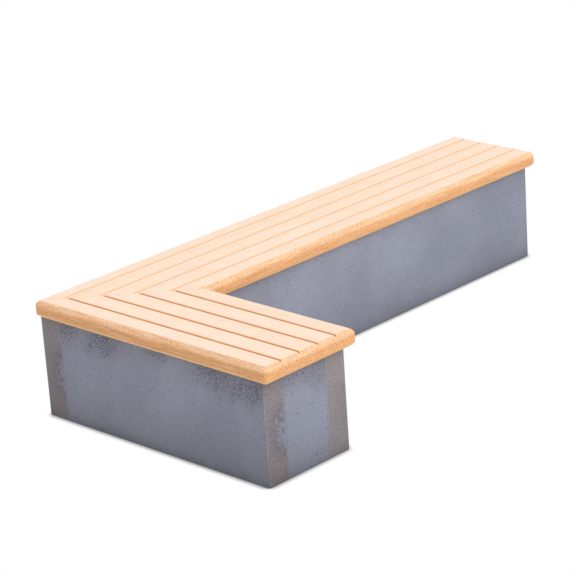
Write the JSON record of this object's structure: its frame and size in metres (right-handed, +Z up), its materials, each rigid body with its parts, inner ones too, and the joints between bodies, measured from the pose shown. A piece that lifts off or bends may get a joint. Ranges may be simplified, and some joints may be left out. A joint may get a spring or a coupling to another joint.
{
  "type": "backless bench",
  "caption": "L-shaped backless street bench: grooved timber slat seat with mitred corner and bevelled edges on a plinth of butt-jointed slabs.",
  "frame": {"origin": "centre of the footprint's bounding box, on the paving that the plinth stands on", "axes": "+X along the long arm, towards its free end; -Y along the short arm, towards its free end; +Z up"},
  "size_m": [2.41, 1.175, 0.46],
  "materials": {
    "seat_timber": "sanded, clear matt",
    "plinth_slab": "precast concrete with a smooth blue-grey coating, raw brown-grey slab ends",
    "galvanised_steel": "galvanised",
    "zinc_fastener": "zinc plated"
  },
  "bodies": {
    "root": {"back_cleat_1": "galvanised_steel", "back_cleat_2": "galvanised_steel", "back_cleat_3": "galvanised_steel", "back_cleat_4": "galvanised_steel", "back_wall": "plinth_slab", "bracket_bolts": "zinc_fastener", "cleat_bolts": "zinc_fastener", "cleat_screws": "zinc_fastener", "front_cleat_1": "galvanised_steel", "front_cleat_2": "galvanised_steel", "front_cleat_3": "galvanised_steel", "front_cleat_4": "galvanised_steel", "front_wall": "plinth_slab", "inner_cleat_1": "galvanised_steel", "inner_cleat_2": "galvanised_steel", "inner_side_wall": "plinth_slab", "joint_plate": "galvanised_steel", "long_end_bracket_1": "galvanised_steel", "long_end_bracket_2": "galvanised_steel", "long_end_wall": "plinth_slab", "long_slat_1": "seat_timber", "long_slat_2": "seat_timber", "long_slat_3": "seat_timber", "long_slat_4": "seat_timber", "long_slat_5": "seat_timber", "long_strap_1": "galvanised_steel", "long_strap_2": "galvanised_steel", "long_strap_3": "galvanised_steel", "long_strap_4": "galvanised_steel", "long_strap_5": "galvanised_steel", "mitre_strap": "galvanised_steel", "outer_cleat_1": "galvanised_steel", "outer_cleat_2": "galvanised_steel", "outer_corner_bracket": "galvanised_steel", "outer_side_wall": "plinth_slab", "short_end_bracket_1": "galvanised_steel", "short_end_bracket_2": "galvanised_steel", "short_end_wall": "plinth_slab", "short_slat_1": "seat_timber", "short_slat_2": "seat_timber", "short_slat_3": "seat_timber", "short_slat_4": "seat_timber", "short_slat_5": "seat_timber", "short_strap_1": "galvanised_steel", "short_strap_2": "galvanised_steel", "strap_screws": "zinc_fastener"}
  },
  "joints": []
}
